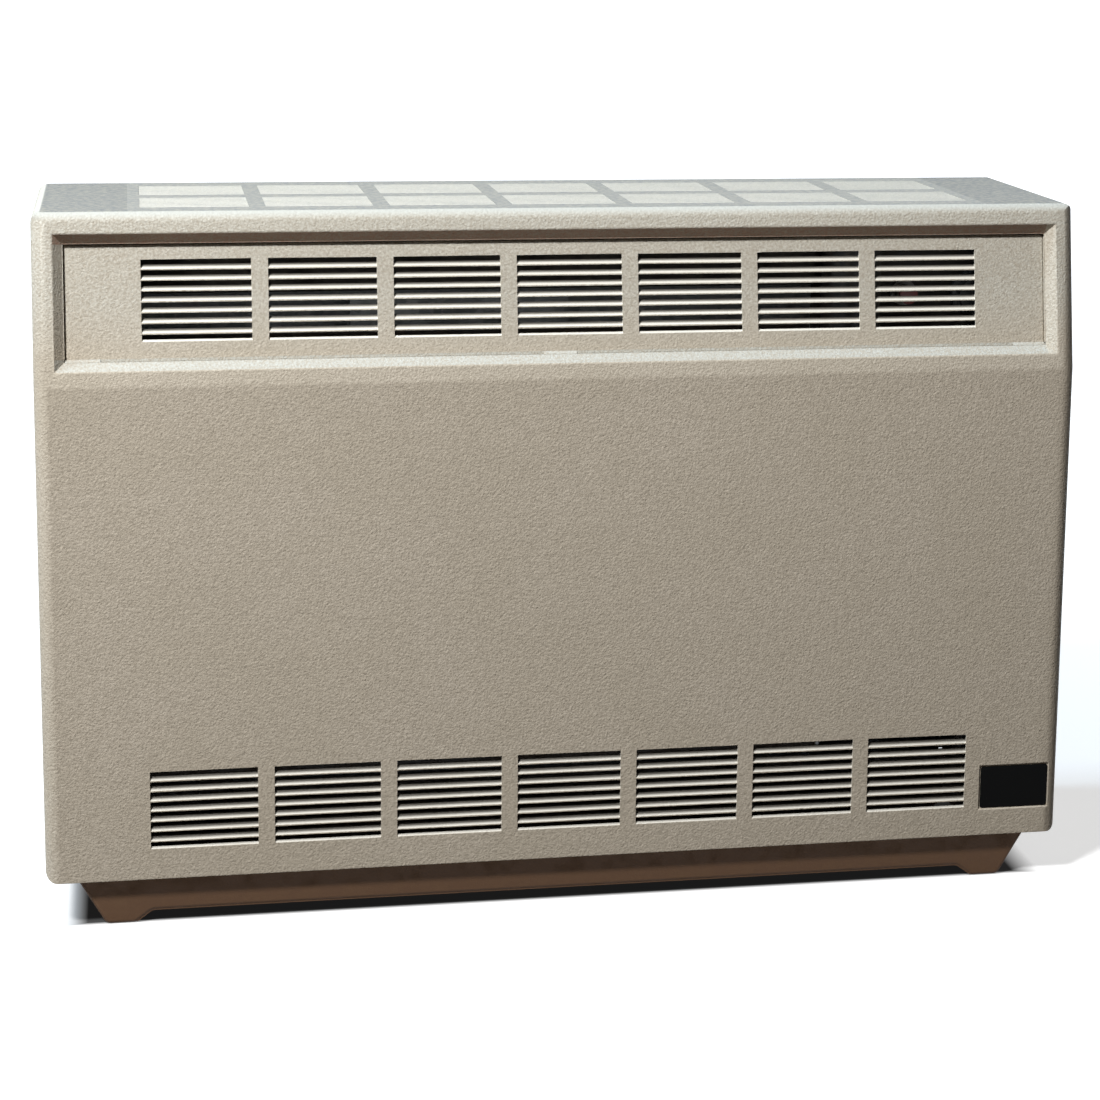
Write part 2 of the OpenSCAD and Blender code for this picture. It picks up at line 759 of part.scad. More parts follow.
// Slotted sleeve on the burner's mouth that sets how much air goes in with the gas
module air_shutter() color("#b08d4f") difference() {
    rod_x(mouth_x[0] + 2, mouth_x[1] + 1.2, ch_mid, burner_z, mouth_r + 1.3);
    rod_x(mouth_x[0] + 1, mouth_x[1] + 0.2, ch_mid, burner_z, mouth_r + fit_gap);
    rod_x(mouth_x[1] - 1, mouth_x[1] + 2, ch_mid, burner_z, 7);
    for (a = [0 : 90 : 270]) translate([mouth_x[1] - 1, ch_mid, burner_z]) rotate([a, 0, 0])
        block([0, -3.5, 9], [4, 3.5, 20]);
}

plate_bolts = [for (y = [-52, 52]) for (z = [114, 163, 213]) [ch_mid + y, z]];
plate_yz = [[ch_mid - 60, 111], [ch_mid + 60, 220]];
pilot_y = ch_mid + 28;
feed_z = 196;
feed_y = [pilot_y - 12, pilot_y, pilot_y + 10];

module plate_feeds(g) {
    rod_x(ch_x1 - 10, end_x + 10, ch_mid, burner_z, 8 + g);
    rod_x(ch_x1 - 10, end_x + 10, feed_y[0], feed_z, 3.2 + g);
    rod_x(ch_x1 - 10, end_x + 10, feed_y[1], feed_z, 2.5 + g);
    rod_x(ch_x1 - 10, end_x + 10, feed_y[2], feed_z, 3.5 + g);
}

module burner_end_plate() color("#8b8f92") difference() {
    block([end_x, plate_yz[0].x, plate_yz[0].y], [end_x + 2, plate_yz[1].x, plate_yz[1].y]);
    plate_feeds(fit_gap);
    for (p = plate_bolts) rod_x(end_x - 1, end_x + 3, p.x, p.y, 2 + fit_gap);
}

module end_plate_gasket() color("#d8d5cc") difference() {
    block([ch_x1, plate_yz[0].x, plate_yz[0].y], [end_x, plate_yz[1].x, plate_yz[1].y]);
    block([ch_x1 - 1, ch_mid - 42, 122], [end_x + 1, ch_mid + 42, 205]);
    for (p = plate_bolts) rod_x(ch_x1 - 1, end_x + 1, p.x, p.y, 2 + fit_gap);
}

module end_plate_screws() color("#b8bbbe") for (p = plate_bolts) {
    rod_x(ch_x1, end_x + 2, p.x, p.y, 2);
    rod_x(end_x + 2, end_x + 4.4, p.x, p.y, 3.8);
}

// ---------- gas train ----------

module orifice_holder() color("#b99a52") difference() {
    union() {
        rod_x(232, 280, ch_mid, burner_z, 8);
        rod_x(end_x + 2, end_x + 8, ch_mid, burner_z, 13);
    }
    rod_x(258, 281, ch_mid, burner_z, 6 + fit_gap);
    rod_x(231, 259, ch_mid, burner_z, 2.5);
}

module main_orifice() color("#c9a85a") difference() {
    union() {
        rod_x(224, 232, ch_mid, burner_z, 6);
        cone_x(218, 224, 3, 6);
    }
    rod_x(217, 233, ch_mid, burner_z, 1.2);
}

module manifold_tube() color("#c9cccd") run([
    [outlet.x, outlet.y, 508], [outlet.x, outlet.y, 200], [outlet.x, ch_mid, 200],
    [outlet.x, ch_mid, burner_z], [260, ch_mid, burner_z]
], 6, 16);

module manifold_nut() color("#b99a52") {
    difference() {
        translate([280, ch_mid, burner_z]) rotate([0, 90, 0]) cylinder(h = 8, r = 11, $fn = 6);
        rod_x(279, 289, ch_mid, burner_z, 6 + fit_gap);
    }
    difference() {
        translate([outlet.x, outlet.y, 499]) cylinder(h = 9, r = 11, $fn = 6);
        rod_z(498, 509, outlet.x, outlet.y, 6 + fit_gap);
    }
}

module supply_pipe() color("#3f4144") difference() {
    rod_z(pipe_z0, 515, inlet.x, inlet.y, supply_r);
    rod_z(pipe_z0 - 1, 516, inlet.x, inlet.y, supply_r - 2.7);
}

module supply_coupling() color("#4a4c4f") difference() {
    rod_z(coupling_z[0], coupling_z[1], inlet.x, inlet.y, 15);
    rod_z(coupling_z[0] - 1, pipe_z0 + 0.01, inlet.x, inlet.y, tap_r);
    rod_z(pipe_z0, coupling_z[1] + 1, inlet.x, inlet.y, supply_r + fit_gap);
}

// ---------- controls ----------

bonnet_r = 13;
ctrl_x = [part_x + part_t, 458];
ctrl_z = [505, 604];
ctrl_t = 1.2;

module control_bracket() color("#a4a8ab") difference() {
    union() {
        block([ctrl_x[0], ctrl_y, ctrl_z[0]], [ctrl_x[1], ctrl_y + ctrl_t, ctrl_z[1]]);
        block([ctrl_x[0], ctrl_y + ctrl_t, ctrl_z[0]], [ctrl_x[0] + ctrl_t, ctrl_y + 40, ctrl_z[1]]);
        block(
            [ctrl_x[0] + ctrl_t, ctrl_y + ctrl_t, ctrl_z[1] - ctrl_t], [ctrl_x[1], ctrl_y + 20, ctrl_z[1]]
        );
    }
    rod_y(ctrl_y - 1, ctrl_y + 3, knob_x, knob_z, bonnet_r + 0.2);
    rod_y(ctrl_y - 1, ctrl_y + 3, ign_x, knob_z, 9 + fit_gap);
}

module gas_valve() color("#9fa3a6") difference() {
    union() {
        block([valve_x[0], valve_y[0], valve_z[0]], [valve_x[1], valve_y[1], valve_z[1]]);
        rod_y(ctrl_y - 4, valve_y[0], knob_x, knob_z, bonnet_r);
        rod_z(505, valve_z[0], inlet.x, inlet.y, 16);
        rod_z(508, valve_z[0], outlet.x, outlet.y, 12);
        rod_z(512, valve_z[0], 385, 124, 6);
    }
    rod_y(ctrl_y - 5, ctrl_y + 18, knob_x, knob_z, 3 + fit_gap);
    rod_z(504, 515, inlet.x, inlet.y, supply_r + fit_gap);
    rod_z(507, 514, outlet.x, outlet.y, 5);
    rod_z(511, 518, 385, 124, 3 + fit_gap);
    // casting pockets in the flanks
    for (z = [527, 552])
        block([valve_x[0] - 1, 90, z], [valve_x[0] + 3, 122, z + 18]);
    block([valve_x[1] - 3, 90, 530], [valve_x[1] + 1, 122, 570]);
}

module regulator_cap() color("#6d7073") {
    rod_z(valve_z[1], valve_z[1] + 8, 364, 108, 11);
    rod_z(valve_z[1] + 8, valve_z[1] + 12, 364, 108, 8);
}

module terminal_block() color("#2b2b2b") {
    block([384, 88, valve_z[1]], [418, 126, valve_z[1] + 7]);
    for (x = [392, 410]) for (y = [96, 118]) rod_z(valve_z[1] + 7, valve_z[1] + 10, x, y, 3.5);
}

cup_y = ctrl_y - 11;

module knob_spring_cup() color("#c9cccd") difference() {
    rod_y(cup_y, cup_y + 1.5, knob_x, knob_z, 8);
    rod_y(cup_y - 1, cup_y + 3, knob_x, knob_z, 3 + fit_gap);
}

module valve_stem() color("#c9cccd") rod_y(knob_y[1] - 12, ctrl_y + 12, knob_x, knob_z, 3);

knob_y = [cup_y - 20, cup_y - 0.2];

module gas_knob() color("#1d1d1f") difference() {
    union() {
        rod_y(knob_y[1] - 6, knob_y[1], knob_x, knob_z, knob_dia / 2);
        rod_y(knob_y[0] + 3, knob_y[1] - 6, knob_x, knob_z, knob_dia / 2 - 5);
        block([knob_x - 5, knob_y[0], knob_z - 17], [knob_x + 5, knob_y[1] - 6, knob_z + 17]);
    }
    rod_y(knob_y[1] - 12, knob_y[1] + 1, knob_x, knob_z, 3 + fit_gap);
    for (a = [0 : 20 : 340]) translate([knob_x, 0, knob_z]) rotate([0, a, 0])
        rod_y(knob_y[1] - 7, knob_y[1] + 1, knob_dia / 2 + 0.6, 0, 1.6);
}

module igniter_body() color("#e4e2dc") difference() {
    union() {
        rod_y(ctrl_y - 10, ctrl_y + 40, ign_x, knob_z, 9);
        rod_y(ctrl_y - 4, ctrl_y, ign_x, knob_z, 12);
    }
    rod_y(ctrl_y - 11, ctrl_y + 22, ign_x, knob_z, 6 + fit_gap);
}

module igniter_nut() color("#8f9296") difference() {
    translate([ign_x, ctrl_y + 1.2, knob_z]) rotate([-90, 0, 0]) cylinder(h = 5, r = 13, $fn = 6);
    rod_y(ctrl_y, ctrl_y + 8, ign_x, knob_z, 9 + fit_gap);
}

module igniter_button() color("#b02a22") {
    rod_y(ctrl_y - 19, ctrl_y + 12, ign_x, knob_z, 6);
    rod_y(ctrl_y - 21, ctrl_y - 17.5, ign_x, knob_z, 8.5);
}

// ---------- pilot ----------

pilot_x = 150;

shelf_z = 189.2;

module pilot_bracket() color("#8b8f92") {
    block([pilot_x - 14, pilot_y - 18, shelf_z - 1.2], [ch_x1 - 2, pilot_y + 14, shelf_z]);
    block([ch_x1 - 3, pilot_y - 18, 172], [ch_x1 - 2, pilot_y + 14, shelf_z - 1.2]);
    block([ch_x1 - 2, pilot_y - 6, 174], [end_x, pilot_y + 6, 184]);
}

module pilot_burner() color("#b99a52") {
    rod_z(shelf_z, 206, pilot_x + 2, feed_y[0], 5.5);
    block([pilot_x - 4, feed_y[0] - 6, 206], [pilot_x + 8, feed_y[0] + 6, 211]);
}

module thermopile() color("#b4b8ba") rod_z(shelf_z, 222, pilot_x + 2, feed_y[2], 5);

module spark_electrode() color("#e8e6e0") {
    rod_z(shelf_z, 206, pilot_x - 4, feed_y[1], 2.6);
    rod_z(206, 216, pilot_x - 4, feed_y[1], 1);
}

module pilot_tube() color("#c9cccd") run([
    [pilot_x + 7.6, feed_y[0], feed_z], [385, feed_y[0], feed_z], [385, feed_y[0], 290],
    [385, 124, 290], [385, 124, 518]
], 3, 12);

module thermopile_lead() color("#b97a3a") run([
    [pilot_x + 7.1, feed_y[2], feed_z], [440, feed_y[2], feed_z],
    [440, feed_y[2], 591.8], [440, 118, 591.8], [409, 118, 591.8]
], 1.8, 12);

module ignition_lead() color("#8f2a20") run([
    [pilot_x - 1.4, feed_y[1], feed_z], [ign_x, feed_y[1], feed_z], [ign_x, feed_y[1], knob_z],
    [ign_x, ctrl_y + 40, knob_z]
], 1.8, 10);

// ---------- sight glass and limit switch ----------

module sight_ring(y0, y1, ro, ri) difference() {
    rod_y(y0, y1, win_x, win_z, ro);
    rod_y(y0 - 1, y1 + 1, win_x, win_z, ri);
}

module window_gasket() color("#d8d5cc") sight_ring(ch_y0 - 1, ch_y0, 22, 15);

module window_glass() color([0.8, 0.9, 0.95, 0.4]) rod_y(ch_y0 - 4, ch_y0 - 1, win_x, win_z, 20);

module window_retainer() color("#8b8f92") {
    difference() {
        rod_y(ch_y0 - 5.5, ch_y0, win_x, win_z, 30);
        rod_y(ch_y0 - 4, ch_y0 + 1, win_x, win_z, 22 + fit_gap);
        rod_y(ch_y0 - 6, ch_y0, win_x, win_z, 15);
    }
    for (a = [30, 150, 270]) translate([win_x, 0, win_z]) rotate([0, a, 0])
        rod_y(ch_y0 - 7.5, ch_y0 - 5.4, 25.5, 0, 3);
}

limit_z = 420;
limit_y = 126;

module limit_switch() color("#3a3a3c") {
    rod_x(part_x + part_t, part_x + 10, limit_y, limit_z, 9);
    block([part_x + part_t, limit_y - 16, limit_z - 4], [part_x + part_t + 1, limit_y + 16, limit_z + 4]);
    for (y = [limit_y - 4, limit_y + 4])
        block([part_x + 10, y - 0.5, limit_z - 3], [part_x + 18, y + 0.5, limit_z + 3]);
}

module limit_wires() color("#303030") for (s = [-1, 1]) run([
    [part_x + 18, limit_y + 4 * s, limit_z], [337, limit_y + 4 * s, limit_z],
    [337, limit_y + 4 * s, 600 - 4 * s], [392, limit_y + 4 * s, 600 - 4 * s],
    [392, 107 + 11 * s, 600 - 4 * s], [392, 107 + 11 * s, 590]
], 1.3, 4);

// ---------- the pieces ----------

set_down() front_panel();
set_down() top_panel();
set_down() left_end_panel();
set_down() right_end_panel();
set_down() access_grille();
set_down() grille_clips();
set_down() nameplate();
set_down() base_tray();
set_down() back_panel();
set_down() cabinet_screws();
set_down() partition_panel();
set_down() chamber_front_half();
set_down() chamber_rear_half();
set_down() chamber_supports();
set_down() heat_shield();
set_down() shield_standoffs();
set_down() air_deflector();
set_down() air_drop_duct();
set_down() flue_tube();
set_down() air_tube();
set_down() vent_spacers();
set_down() vent_gasket();
set_down() burner_tube();
set_down() burner_saddles();
set_down() air_shutter();
set_down() burner_end_plate();
set_down() end_plate_gasket();
set_down() end_plate_screws();
set_down() orifice_holder();
set_down() main_orifice();
set_down() manifold_tube();
set_down() manifold_nut();
set_down() supply_pipe();
set_down() supply_coupling();
set_down() control_bracket();
set_down() gas_valve();
set_down() regulator_cap();
set_down() terminal_block();
set_down() knob_spring_cup();
set_down() valve_stem();
set_down() gas_knob();
set_down() igniter_body();
set_down() igniter_nut();
set_down() igniter_button();
set_down() pilot_bracket();
set_down() pilot_burner();
set_down() thermopile();
set_down() spark_electrode();
set_down() pilot_tube();
set_down() thermopile_lead();
set_down() ignition_lead();
set_down() window_gasket();
set_down() window_glass();
set_down() window_retainer();
set_down() limit_switch();
set_down() limit_wires();
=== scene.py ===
"""A direct-vent gas room heater in its real finishes: textured putty enamel on the louvred cabinet,
brown enamel on the base, and bare, plated and blackened metal on what is inside and behind."""
import json
import math

import bmesh
import bpy
from mathutils import Matrix, Vector


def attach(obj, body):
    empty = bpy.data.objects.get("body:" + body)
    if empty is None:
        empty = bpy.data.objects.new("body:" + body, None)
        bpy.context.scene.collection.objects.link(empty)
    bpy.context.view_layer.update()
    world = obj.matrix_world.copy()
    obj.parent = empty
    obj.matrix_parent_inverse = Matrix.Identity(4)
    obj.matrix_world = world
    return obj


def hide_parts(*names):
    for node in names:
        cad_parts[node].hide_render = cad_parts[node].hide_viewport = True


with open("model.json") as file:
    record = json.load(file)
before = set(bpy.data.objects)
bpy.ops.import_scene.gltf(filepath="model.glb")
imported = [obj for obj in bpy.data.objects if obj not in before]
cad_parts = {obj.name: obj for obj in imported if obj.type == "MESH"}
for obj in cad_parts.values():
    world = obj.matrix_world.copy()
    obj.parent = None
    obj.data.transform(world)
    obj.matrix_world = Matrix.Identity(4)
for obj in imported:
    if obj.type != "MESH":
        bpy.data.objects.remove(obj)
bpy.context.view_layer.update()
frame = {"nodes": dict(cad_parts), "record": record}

MM = 0.001

# The cabinet's front, and the recess in the header that leans back above its crease
FRONT_Y = -144 * MM
CREASE_Z = 490 * MM
TOP_Z = 639 * MM
CABINET_FOOT_Z = 45 * MM
HEADER_TILT = math.radians(9.2)
RECESS_X = 450 * MM
RECESS_S = (13.9 * MM, 132.7 * MM)
BEVEL_W = 8.5 * MM
BEVEL_D = 9 * MM
BASE_Y = FRONT_Y + 12 * MM

# The grille in the recess, and the banks of louvres, measured from the lowest edge of each
GRILLE_DEPTH = 11.9 * MM
GRILLE_X = 441.05 * MM
GRILLE_TOP_S = 123.6 * MM
OPEN_X = 441.5 * MM
OPEN_S = (22.4 * MM, 124.2 * MM)
LUG_TOP_S = 24.8 * MM
BANK = (-2.4 * MM, 69.3 * MM)
HEADER_BANK_S = 41 * MM
LOWER_BANK_Z = 75 * MM
BANK_HALF_X = 386 * MM

# How deep in the slots the painted shade starts, and where it is full
LOW_SLOT_SHADE = (0.7 * MM, 2.4 * MM)
HIGH_SLOT_SHADE = (1.5 * MM, 3.3 * MM)

INNER_SHEETS = (
    "partition_panel", "control_bracket", "chamber_supports", "heat_shield", "air_deflector", "grille_clips",
)

# The photograph's camera, fitted to the louvres and edges of the cabinet
PHOTO_SIZE = 1100
VANISHING_CENTRE = (610, 350)
FOCAL_PX = 2618.0
SENSOR = 36
CAMERA_AT = (-0.3818, -2.3905, 0.9161)
CAMERA_TURN = (80.047, -0.744, -10.316)


# ---------- shader expressions ----------


class Value:
    """A socket that takes part in an expression, each operator adding its Math node."""

    def __init__(self, paint, socket):
        self.paint = paint
        self.socket = socket

    def maths(self, operation, *others):
        return self.paint.node("ShaderNodeMath", {"operation": operation}, self, *others)

    def __add__(self, other):
        return self.maths("ADD", other)

    def __mul__(self, other):
        return self.maths("MULTIPLY", other)

    def __sub__(self, other):
        return self.maths("SUBTRACT", other)

    def __rsub__(self, other):
        return self.paint.node("ShaderNodeMath", {"operation": "SUBTRACT"}, other, self)

    def __gt__(self, other):
        return self.maths("GREATER_THAN", other)

    def __lt__(self, other):
        return self.maths("LESS_THAN", other)

    __radd__ = __add__
    __rmul__ = __mul__


class Paint:
    """One material: a Principled shader, with helpers for what varies over it."""

    def __init__(self, name, color, roughness, metallic=0.0, **sockets):
        self.material = bpy.data.materials.new(name)
        self.material.use_nodes = True
        self.tree = self.material.node_tree
        self.shader = self.tree.nodes["Principled BSDF"]
        self.set("Base Color", (*color, 1))
        self.set("Roughness", roughness)
        self.set("Metallic", metallic)
        for label, value in sockets.items():
            self.set(label.replace("_", " ").title().replace("Ior", "IOR"), value)

    def set(self, label, value):
        socket = self.shader.inputs[label]
        if isinstance(value, Value):
            self.tree.links.new(value.socket, socket)
        else:
            socket.default_value = value

    def node(self, kind, settings=None, *values, output=0, **named):
        made = self.tree.nodes.new(kind)
        for label, value in (settings or {}).items():
            setattr(made, label, value)
        wanted = {**dict(enumerate(values)), **{k.replace("_", " "): v for k, v in named.items()}}
        for label, value in wanted.items():
            socket = made.inputs[label]
            if isinstance(value, Value):
                self.tree.links.new(value.socket, socket)
            else:
                socket.default_value = value
        return Value(self, made.outputs[output])

    def place(self, scale=(1, 1, 1)):
        """Object coordinates, stretched along an axis where scale is under 1."""
        spot = self.node("ShaderNodeTexCoord", output="Object")
        return spot if scale == (1, 1, 1) else self.node("ShaderNodeMapping", None, spot, Scale=scale)

    def noise(self, size, detail=3.0, roughness=0.55, stretch=(1, 1, 1)):
        """Noise whose features are about size across, in metres."""
        return self.node(
            "ShaderNodeTexNoise", None, Vector=self.place(stretch), Scale=1 / size, Detail=detail,
            Roughness=roughness,
        )

    def cells(self, size, feature="F1", output="Distance"):
        return self.node(
            "ShaderNodeTexVoronoi", {"feature": feature}, output=output, Vector=self.place(), Scale=1 / size
        )

    def ramp(self, value, low, high):
        """value spread so that low becomes 0 and high becomes 1."""
        return self.node("ShaderNodeMapRange", None, Value=value, **{"From_Min": low, "From_Max": high})

    def blend(self, factor, first, second):
        """A colour between two others."""
        mixed = self.tree.nodes.new("ShaderNodeMix")
        mixed.data_type = "RGBA"
        for index, value in ((0, factor), (6, first), (7, second)):
            if isinstance(value, Value):
                self.tree.links.new(value.socket, mixed.inputs[index])
            else:
                mixed.inputs[index].default_value = value if index == 0 else (*value, 1)
        return Value(self, mixed.outputs[2])

    def bump(self, height, depth):
        """height, where 1 stands depth metres proud of 0."""
        raised = self.node("ShaderNodeBump", None, Strength=1.0, Distance=depth, Height=height)
        self.set("Normal", raised)

    def axes(self, count=3):
        """Object coordinates one by one: across, back and up."""
        return (self.node("ShaderNodeSeparateXYZ", None, self.place(), output=i) for i in range(count))


def srgb(red, green, blue):
    """A colour given as it looks on screen, in the linear values that a shader takes."""
    def linear(level):
        level /= 255
        return level / 12.92 if level <= 0.04045 else ((level + 0.055) / 1.055) ** 2.4
    return tuple(linear(level) for level in (red, green, blue))


# ---------- finishes ----------


def cabinet_enamel():
    """Baked putty enamel with a pebbled texture.

    Light and shade are painted into it: paler up the header, a painted highlight on the louvres' blades,
    painted shade deep in their slots, painted light on the recess's lower and right bevels, painted shade on
    its upper bevel and down the cabinet's right edge, and painted sky light near the top. The top is also
    dusty, and its bluish grey is partly a painted sky reflection.
    """
    paint = Paint("cabinet_enamel", srgb(188, 177, 160), 0.5, specular_ior_level=0.1)
    pebbles = paint.cells(2.4 * MM, "SMOOTH_F1")
    grain = paint.noise(1.7 * MM, 2)
    drift = paint.ramp(paint.noise(90 * MM, 2), 0.35, 0.65)
    fleck = paint.ramp(paint.noise(2.1 * MM, 2), 0.34, 0.66)
    mottle = paint.ramp(paint.noise(5 * MM, 4), 0.36, 0.64)
    across, back, height = paint.axes()
    aside = across.maths("ABSOLUTE")
    behind = back - FRONT_Y
    up = height - CREASE_Z
    depth = behind * math.cos(HEADER_TILT) - up * math.sin(HEADER_TILT)
    s = behind * math.sin(HEADER_TILT) + up * math.cos(HEADER_TILT)

    header = paint.ramp(s, 25 * MM, 75 * MM)
    edge = paint.ramp(across, 449 * MM, 466 * MM)
    in_recess = (depth > 0.5 * MM) * (RECESS_X > aside) * (s > RECESS_S[0]) * (RECESS_S[1] > s)
    sill_painted_light = in_recess * (LUG_TOP_S > s)
    lintel_painted_shade = in_recess * (s > OPEN_S[1] - 0.5 * MM)
    jamb_painted_light = in_recess * (across > OPEN_X)
    banks = aside < BANK_HALF_X
    low = banks * (height > LOWER_BANK_Z - 3 * MM) * (LOWER_BANK_Z + 71 * MM > height) * (0 * MM > up)
    high = banks * (s > HEADER_BANK_S - 3 * MM) * (HEADER_BANK_S + 71 * MM > s)
    high = high * (depth > GRILLE_DEPTH - 1 * MM)
    low_depth = behind
    high_depth = depth - GRILLE_DEPTH
    blade_painted_light = low * low_depth + high * high_depth > 0.2 * MM
    # The soot is painted shade: each slot is painted darker the deeper it lies, where the blade above shades
    # it.
    soot = low * paint.ramp(low_depth, *LOW_SLOT_SHADE) + high * paint.ramp(high_depth, *HIGH_SLOT_SHADE)

    tone = paint.blend(drift, srgb(190, 180, 163), srgb(194, 184, 168))
    # Painted light: the header leans back towards the light, so it is painted paler and cooler than the face
    # below the crease.
    tone = paint.blend(header, tone, srgb(198, 194, 182))
    # Painted light: the recess's lower bevel and its lugs face up, so they are painted cooler and paler.
    tone = paint.blend(sill_painted_light, tone, srgb(186, 185, 177))
    # Painted shade: the recess's upper bevel faces down, so it is painted darker, and almost black deep
    # behind its rim.
    tone = paint.blend(lintel_painted_shade, tone, srgb(161, 132, 116))
    tone = paint.blend(lintel_painted_shade * (depth > 8.6 * MM), tone, srgb(60, 50, 42))
    # Painted light: the recess's right bevel faces the lamp, so it is painted paler.
    tone = paint.blend(jamb_painted_light, tone, srgb(199, 193, 180))
    # Painted shade: the cabinet's right edge turns away from the lamp, so it is painted darker.
    tone = paint.blend(edge * 0.55, tone, srgb(100, 91, 78))
    tone = paint.blend(fleck * 0.75, tone, srgb(166, 156, 140))
    # Painted highlight: the louvres' blades sit pressed in behind the face, and they are painted pale.
    tone = paint.blend(blade_painted_light * 0.85, tone, srgb(232, 229, 219))
    # Painted shade deep in the louvres' slots.
    tone = paint.blend(soot * 0.9, tone, srgb(46, 40, 34))
    # Painted light: near the top, the rounded edge and the top's louvre banks are painted paler and cooler,
    # for the sky light they catch.
    top_painted_light = paint.ramp(height, TOP_Z - 7 * MM, TOP_Z - 2 * MM) * 0.7
    top_lit_tone = paint.blend(behind > 45 * MM, srgb(187, 188, 182), srgb(203, 202, 194))
    tone = paint.blend(top_painted_light, tone, top_lit_tone)
    # The flat top is dusty, and its darker bluish grey is also a painted sky reflection.
    dust = paint.ramp(height, TOP_Z - 0.4 * MM, TOP_Z - 0.1 * MM) * (1 - banks * 0.15)
    dust_and_sky_reflection = paint.blend(mottle, srgb(152, 150, 141), srgb(125, 127, 127))
    paint.set("Base Color", paint.blend(dust, tone, dust_and_sky_reflection))
    paint.set("Roughness", 0.42 + fleck * 0.16 + dust * 0.3)
    paint.bump(pebbles * 0.3 + grain * 0.7, 0.85 * MM)
    return paint.material


def base_enamel():
    """Brown semi-matt enamel, dusty along the foot."""
    paint = Paint("base_enamel", srgb(85, 61, 42), 0.6, specular_ior_level=0.3)
    dust = paint.ramp(paint.noise(14 * MM, 4), 0.45, 0.8)
    paint.set("Base Color", paint.blend(dust * 0.5, srgb(85, 61, 42), srgb(106, 83, 63)))
    paint.set("Roughness", 0.56 + dust * 0.2)
    paint.bump(paint.noise(1.6 * MM, 3), 0.2 * MM)
    return paint.material


def plate_black():
    """Satin black of the bare nameplate."""
    paint = Paint("plate_black", srgb(6, 6, 6), 0.6, specular_ior_level=0.04)
    brushed = paint.noise(0.8 * MM, 2, stretch=(0.05, 1, 1))
    paint.set("Base Color", paint.blend(brushed, srgb(4, 4, 4), srgb(12, 12, 12)))
    paint.set("Roughness", 0.52 + brushed * 0.14)
    paint.bump(brushed, 0.02 * MM)
    return paint.material


def galvanised():
    """Zinc-dipped sheet with its frosted crystals."""
    paint = Paint("galvanised", srgb(132, 136, 138), 0.45, 0.85)
    spangle = paint.node(
        "ShaderNodeSeparateColor", None, paint.cells(11 * MM, output="Color"), output="Red"
    )
    haze = paint.noise(30 * MM, 4)
    paint.set("Base Color", paint.blend(spangle, srgb(118, 122, 124), srgb(146, 149, 150)))
    paint.set("Roughness", 0.36 + spangle * 0.22 + haze * 0.1)
    paint.bump(spangle, 0.02 * MM)
    return paint.material


def aluminised():
    """Matt silver sheet that stands up to heat."""
    paint = Paint("aluminised", srgb(140, 142, 142), 0.5, 0.9)
    streaks = paint.noise(1.2 * MM, 3, stretch=(0.03, 1, 1))
    paint.set("Base Color", paint.blend(streaks, srgb(130, 132, 132), srgb(152, 153, 152)))
    paint.set("Roughness", 0.36 + streaks * 0.16)
    paint.bump(streaks, 0.02 * MM)
    return paint.material


def dulled_sheet():
    """Plated sheet inside the cabinet, made dark and dull as painted shade for the inside, with patches of
    brown.
    """
    paint = Paint("dulled_sheet", srgb(70, 68, 65), 0.8, 0.3, specular_ior_level=0.2)
    patina = paint.ramp(paint.noise(25 * MM, 4), 0.35, 0.7)
    paint.set("Base Color", paint.blend(patina, srgb(58, 56, 54), srgb(84, 80, 74)))
    paint.set("Roughness", 0.7 + patina * 0.2)
    paint.bump(paint.noise(1.5 * MM, 3), 0.03 * MM)
    return paint.material


def stove_black():
    """Heat-resisting coating, chalky where it has been hot."""
    paint = Paint("stove_black", srgb(62, 58, 55), 0.75)
    scorch = paint.ramp(paint.noise(60 * MM, 5), 0.4, 0.75)
    paint.set("Base Color", paint.blend(scorch, srgb(58, 55, 53), srgb(96, 82, 70)))
    paint.set("Roughness", 0.66 + scorch * 0.2)
    paint.bump(paint.noise(1.2 * MM, 4), 0.12 * MM)
    return paint.material


def plated(name, first, second, roughness):
    """Zinc or nickel plate with a slight cloudiness."""
    paint = Paint(name, first, roughness, 1.0)
    cloud = paint.noise(6 * MM, 4)
    paint.set("Base Color", paint.blend(cloud, first, second))
    paint.set("Roughness", (roughness - 0.08) + cloud * 0.16)
    paint.bump(paint.noise(0.6 * MM, 2), 0.01 * MM)
    return paint.material


def heat_tinted():
    """Burner steel, straw and blue where the flames have played."""
    paint = Paint("heat_tinted", srgb(140, 130, 120), 0.42, 0.9)
    tint = paint.ramp(paint.noise(45 * MM, 3), 0.35, 0.7)
    paint.set("Base Color", paint.blend(tint, srgb(134, 118, 98), srgb(98, 102, 118)))
    paint.set("Roughness", 0.36 + tint * 0.18)
    paint.bump(paint.noise(0.9 * MM, 3), 0.03 * MM)
    return paint.material


def turned_brass():
    """Brass with the fine rings of the lathe."""
    paint = Paint("turned_brass", srgb(196, 160, 88), 0.28, 1.0)
    tarnish = paint.ramp(paint.noise(9 * MM, 4), 0.4, 0.75)
    paint.set("Base Color", paint.blend(tarnish, srgb(204, 168, 92), srgb(158, 122, 66)))
    paint.set("Roughness", 0.22 + tarnish * 0.2)
    paint.bump(paint.noise(0.4 * MM, 2, stretch=(1, 0.1, 0.1)), 0.01 * MM)
    return paint.material


def cast_metal(name, first, second, roughness, metallic, grain, depth):
    """Die-cast or sand-cast metal with the skin of its mould."""
    paint = Paint(name, first, roughness, metallic)
    skin = paint.noise(grain, 4)
    stain = paint.ramp(paint.noise(20 * grain, 3), 0.4, 0.7)
    paint.set("Base Color", paint.blend(stain, first, second))
    paint.set("Roughness", (roughness - 0.1) + skin * 0.2)
    paint.bump(skin, depth)
    return paint.material


